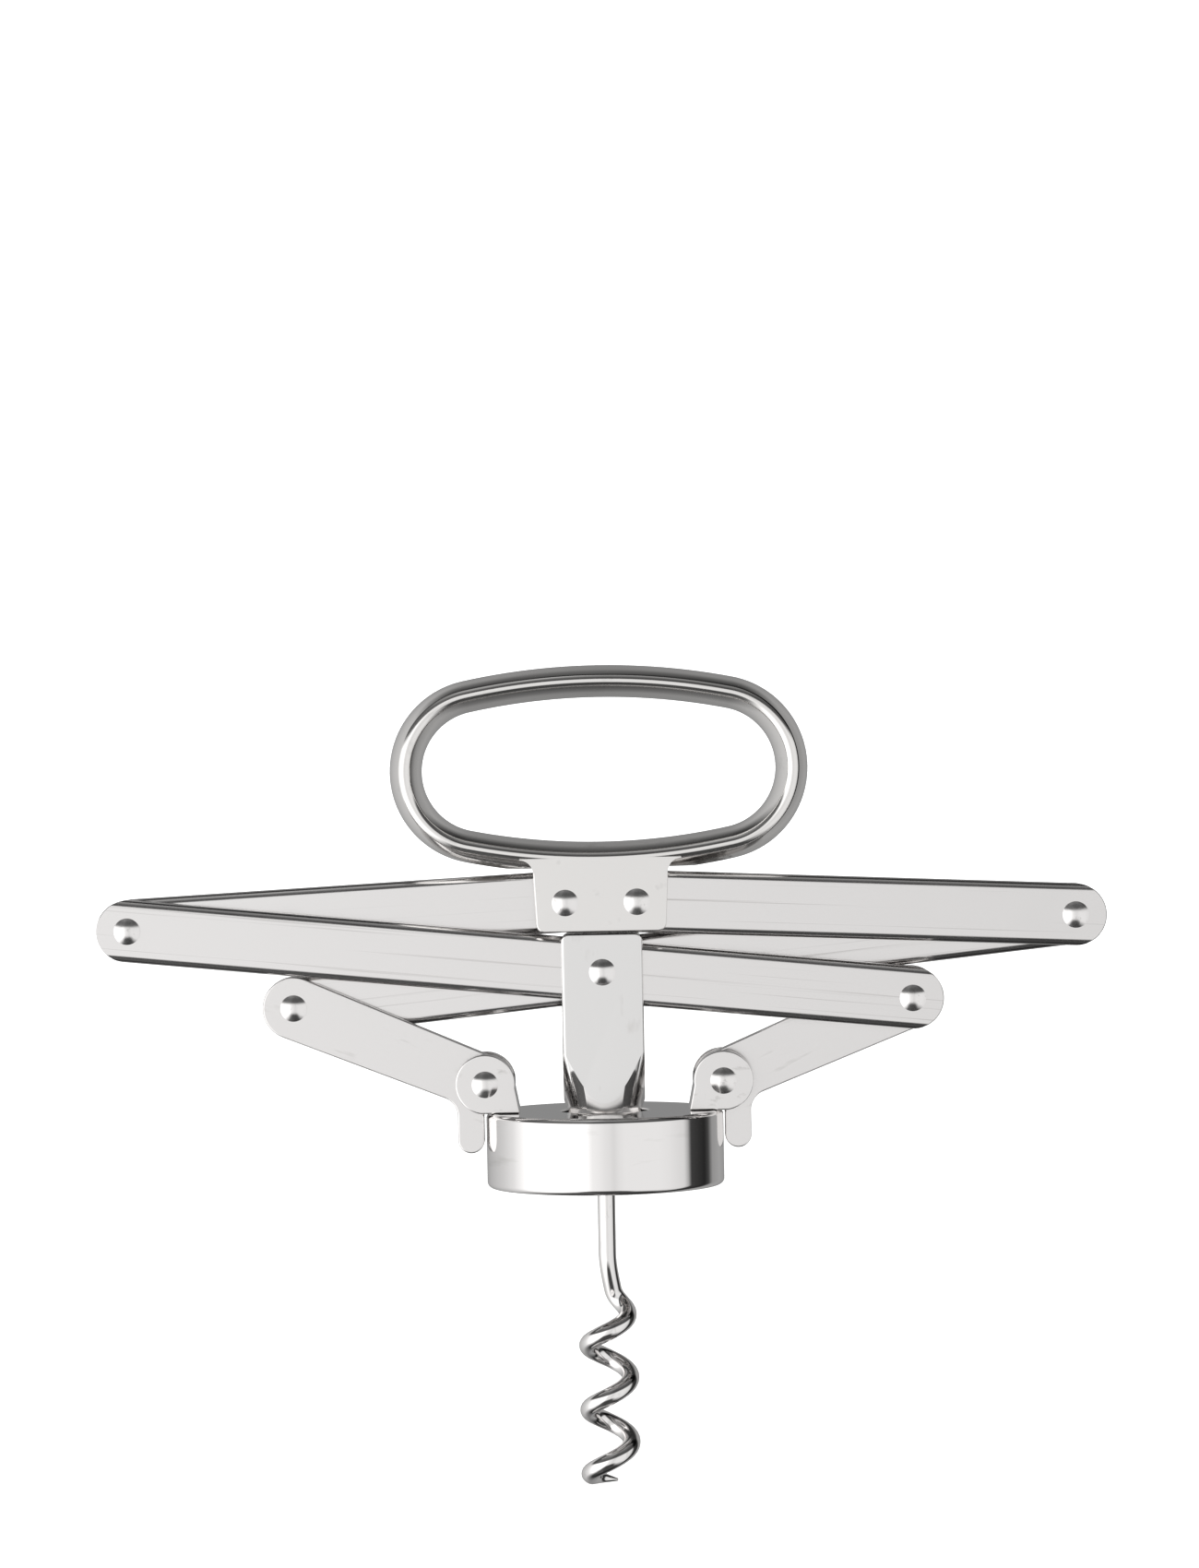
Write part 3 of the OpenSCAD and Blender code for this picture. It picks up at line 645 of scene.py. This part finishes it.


# ---- Handle ---------------------------------------------------------------------------
# A cast zinc finger loop with a thick oval bar, and under it a slotted tab that holds the ends of
# the two upper arms. Polished after casting; under the loop each side of the tab the surface is
# coloured darker grey, grainy and duller.

LOOP_LENGTH, LOOP_HEIGHT, LOOP_END_R = 58.6, 26.8, 11.6
BAR_WIDTH, BAR_DEPTH, BAR_NOSE = 4.9, 12.2, 1.1
SLOT_ROOF, TAB_HALF, TAB_CORNER, TAB_SPREAD, TAB_SWEEP, TAB_TIP = 38.69, 9.8, 1.3, 0.5, 2, 0.2
TAB_RISE = 1.5              # from the slot's roof to the tab's top, inside the loop's bar
TAB_TOP = SLOT_ROOF + TAB_RISE
PATCH_AT, PATCH_SIZE = (18, 0, 37.9), (5, 100, 2.2)   # middle and half size of a patch
TAB_EDGE = 0.25


def add_dull_patch(material):
    """Makes a polished material darker grey, grainy and much duller in a patch each side of the
    tab, under the loop."""
    tree = material.node_tree
    shader = tree.nodes["Principled BSDF"]
    place = add_node(tree, "ShaderNodeTexCoord").outputs["Object"]
    one_side = add_node(tree, "ShaderNodeVectorMath", {0: place}, operation="ABSOLUTE")
    patch = add_node(tree, "ShaderNodeMapping", {
        "Vector": one_side.outputs[0], "Location": [v * MM for v in PATCH_AT],
        "Scale": [v * MM for v in PATCH_SIZE]}, vector_type="TEXTURE")
    distance = add_node(tree, "ShaderNodeVectorMath", {0: patch.outputs[0]}, operation="LENGTH")
    # grain of a millimetre or less, which makes the patch's border ragged too
    grain = add_node(tree, "ShaderNodeTexNoise", {"Vector": place, "Scale": 900, "Detail": 5})
    ragged = add_node(tree, "ShaderNodeMath", {
        0: grain.outputs[0], 1: 0.9, 2: distance.outputs["Value"]}, operation="MULTIPLY_ADD")
    in_patch = add_node(tree, "ShaderNodeMapRange", {0: ragged.outputs[0], 1: 1.2, 2: 1.5, 3: 1, 4: 0})
    polished = {name: shader.inputs[name].links[0].from_socket
                for name in ("Base Color", "Roughness")}
    # a Mix node takes its colours at sockets 6 and 7, its plain values at 2 and 3
    # darker grey colour and higher roughness inside the patch, under the loop beside the tab
    dark = add_node(tree, "ShaderNodeMix", {
        0: in_patch.outputs[0], 6: polished["Base Color"], 7: linear("#8d8a87")}, data_type="RGBA")
    rough = add_node(tree, "ShaderNodeMix", {
        0: in_patch.outputs[0], 2: polished["Roughness"], 3: 0.45}, data_type="FLOAT")
    tree.links.new(dark.outputs[2], shader.inputs["Base Color"])
    tree.links.new(rough.outputs[0], shader.inputs["Roughness"])


low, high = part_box("handle")
tab_bottom = low.z / MM
loop_z = high.z / MM - (LOOP_HEIGHT + BAR_WIDTH) / 2
end_x = LOOP_LENGTH / 2 - LOOP_END_R
half_h = LOOP_HEIGHT / 2
long_r = (end_x ** 2 + half_h ** 2 - LOOP_END_R ** 2) / (2 * (half_h - LOOP_END_R))
long_z = long_r - half_h
join = degrees(atan2(long_z, end_x))

# half the bar's section, an oval of four arcs, drawn about its middle and then laid in place
nose_at = BAR_DEPTH / 2 - BAR_NOSE
side_r = (nose_at ** 2 + (BAR_WIDTH / 2) ** 2 - BAR_NOSE ** 2) / (BAR_WIDTH - 2 * BAR_NOSE)
flank = degrees(atan2(nose_at, side_r - BAR_WIDTH / 2))
band_x = BAR_WIDTH / 2 - side_r + side_r * cos(radians(flank))
band_z = side_r * sin(radians(flank))
loop = bmesh.new()
trace(loop, (band_x, -band_z),
      (BAR_WIDTH / 2 - side_r, 0, 2 * flank), (0, nose_at, 180 - 2 * flank),
      (side_r - BAR_WIDTH / 2, 0, 2 * flank), (0, -nose_at, 180 - 2 * flank))
section_at = (Matrix.Translation((end_x, 0, loop_z)) @ Matrix.Rotation(radians(join), 4, "Y")
              @ Matrix.Translation((LOOP_END_R, 0, 0)) @ Matrix.Rotation(pi / 2, 4, "X"))
bmesh.ops.transform(loop, matrix=section_at, verts=loop.verts)
ring = loop.edges[:]
for x, z, turn, steps in ((end_x, 0, 2 * join, 48), (0, -long_z, 180 - 2 * join, 24),
                          (-end_x, 0, 2 * join, 48), (0, long_z, 180 - 2 * join, 24)):
    swept = bmesh.ops.spin(loop, geom=ring, cent=(x, 0, loop_z + z), axis=(0, -1, 0),
                           angle=radians(turn), steps=steps)["geom_last"]
    ring = [g for g in swept if isinstance(g, bmesh.types.BMEdge)]
bmesh.ops.remove_doubles(loop, verts=loop.verts, dist=1e-3)
bmesh.ops.recalc_face_normals(loop, faces=loop.faces)

sweep_z = TAB_TOP - TAB_TIP - TAB_SWEEP
neck_x = TAB_HALF + TAB_SPREAD * ((sweep_z - tab_bottom - TAB_CORNER)
                                  / (TAB_TOP - tab_bottom - TAB_CORNER))
sweep_x = neck_x + TAB_SWEEP
corner_x, corner_z = TAB_HALF - TAB_CORNER, tab_bottom + TAB_CORNER
tab = plate(-HOLDER_HALF, HOLDER_HALF, (-corner_x, tab_bottom), (corner_x, tab_bottom),
            (corner_x, corner_z, 90), (neck_x, sweep_z), (sweep_x, sweep_z, -90),
            (sweep_x, TAB_TOP), (-sweep_x, TAB_TOP), (-sweep_x, TAB_TOP - TAB_TIP),
            (-sweep_x, sweep_z, -90), (-TAB_HALF, corner_z), (-corner_x, corner_z, 90))
bevel_sharp(tab, TAB_EDGE, segments=4, below=sweep_z + EDGE)
handle = combine(tab, loop, "UNION")
handle = combine(handle, block((-LOOP_LENGTH / 2, -SLOT_HALF, tab_bottom - OVER),
                               (LOOP_LENGTH / 2, SLOT_HALF, SLOT_ROOF)))
for node in ("left_handle_rivet", "right_handle_rivet"):
    handle = combine(handle, tight_hole(node))
# Polished zinc casting under nickel: deep mirror, slightly wavy
handle_nickel = plated("polished casting nickel", "#efedeb", "#dfdddb", 0.08, 0.08,
                       (5, 5, 5), 0.25)
add_dull_patch(handle_nickel)
finish_piece("finger_loop_and_tab", handle, handle_nickel, "handle", "plated_handle", "handle",
             sharp=32)


# ---- Spacers --------------------------------------------------------------------------
# Short lengths of steel tube on the rivets, which fill the empty layer beside each arm and
# keep the linkage square.

SPACER_R, END_GAP = 2.05, 0.1
# Cut-off tube, barrel-plated: duller than the rest, with turning rings
tube_zinc = plated("barrel-plated tube", "#d6d4d2", "#b5b3b0", 0.28, 0.12, (30, 0.25, 30), 0.2)
spacers = (
    ("left_ear_spacer", "collar"), ("right_ear_spacer", "collar"),
    ("lower_right_spacer", "right_link"), ("left_end_spacer", "front_long_arm"),
    ("right_end_spacer", "rear_long_arm"), ("centre_spacers", "worm_holder"),
    ("left_handle_spacers", "handle"), ("right_handle_spacer", "handle"),
)
# depths of the tubes that share a node
tubes = {
    "centre_spacers": ((FRONT + SHEET + END_GAP, 0), (REAR + SHEET + END_GAP, SLOT_HALF)),
    "left_handle_spacers": ((-SLOT_HALF, 0), (REAR + SHEET + END_GAP, SLOT_HALF)),
}
for node, body in spacers:
    low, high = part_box(node)
    x, z = middle(node)
    bm = bmesh.new()
    for front, back in tubes.get(node, ((low.y / MM, high.y / MM),)):
        wall = bmesh.ops.create_grid(
            bm, x_segments=1, y_segments=1, size=0.5,
            matrix=Matrix.Translation(((PIN_HOLE_R + SPACER_R) / 2, (front + back) / 2, 0))
            @ Matrix.Diagonal((SPACER_R - PIN_HOLE_R, back - front, 1, 1)))["verts"]
        face = wall[0].link_faces[0]
        edges = face.edges[:]
        bmesh.ops.delete(bm, geom=[face], context="FACES_ONLY")
        bmesh.ops.spin(bm, geom=edges, cent=(0, 0, 0), axis=(0, 1, 0), angle=2 * pi, steps=40,
                       use_merge=True)
    bmesh.ops.translate(bm, vec=(x, 0, z), verts=bm.verts)
    finish_piece(node.replace("spacer", "tube"), bm, tube_zinc, body, "spacer_steel", node)


# ---- Rivets ---------------------------------------------------------------------------
# Solid steel rivets, closed with a domed set in a press. Each head has a low side wall below
# its dome and sits flat on the plate.

SHANK_R, HEAD_R, HEAD_H, HEAD_WALL = 1.4, 2.0, 0.85, 0.22
# Pressed and plated dome: a small sharp mirror with a few dents from the press
rivet_nickel = plated("pressed rivet nickel", "#f1efee", "#d0cecc", 0.15, 0.10,
                      (0.8, 0.8, 0.8), 0.8)
rivets = (
    ("left_ear_rivet", "collar"), ("right_ear_rivet", "collar"),
    ("lower_left_rivet", "left_link"), ("lower_right_rivet", "right_link"),
    ("left_end_rivet", "front_long_arm"), ("right_end_rivet", "rear_long_arm"),
    ("centre_rivet", "worm_holder"), ("left_handle_rivet", "handle"),
    ("right_handle_rivet", "handle"),
)
rise = HEAD_H - HEAD_WALL
dome_r = (HEAD_R ** 2 + rise ** 2) / (2 * rise)
dome_turn = degrees(acos((dome_r - rise) / dome_r))
for node, body in rivets:
    low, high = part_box(node)
    x, z = middle(node)
    front, back = low.y / MM + HEAD_H, high.y / MM - HEAD_H
    bm = bmesh.new()
    trace(bm, (0, front - HEAD_H), (0, front - HEAD_WALL - rise + dome_r, dome_turn),
          (HEAD_R, front), (SHANK_R, front), (SHANK_R, back), (HEAD_R, back),
          (HEAD_R, back + HEAD_WALL), (0, back + HEAD_WALL + rise - dome_r, dome_turn),
          closed=False)
    bmesh.ops.rotate(bm, cent=(0, 0, 0), matrix=Matrix.Rotation(-pi / 2, 3, "X"),
                     verts=bm.verts)
    bmesh.ops.spin(bm, geom=bm.edges[:], cent=(0, 0, 0), axis=(0, 1, 0), angle=2 * pi,
                   steps=64, use_merge=True)
    bmesh.ops.translate(bm, vec=(x, 0, z), verts=bm.verts)
    finish_piece(node.replace("rivet", "pin"), bm, rivet_nickel, body, "rivet_steel", node)
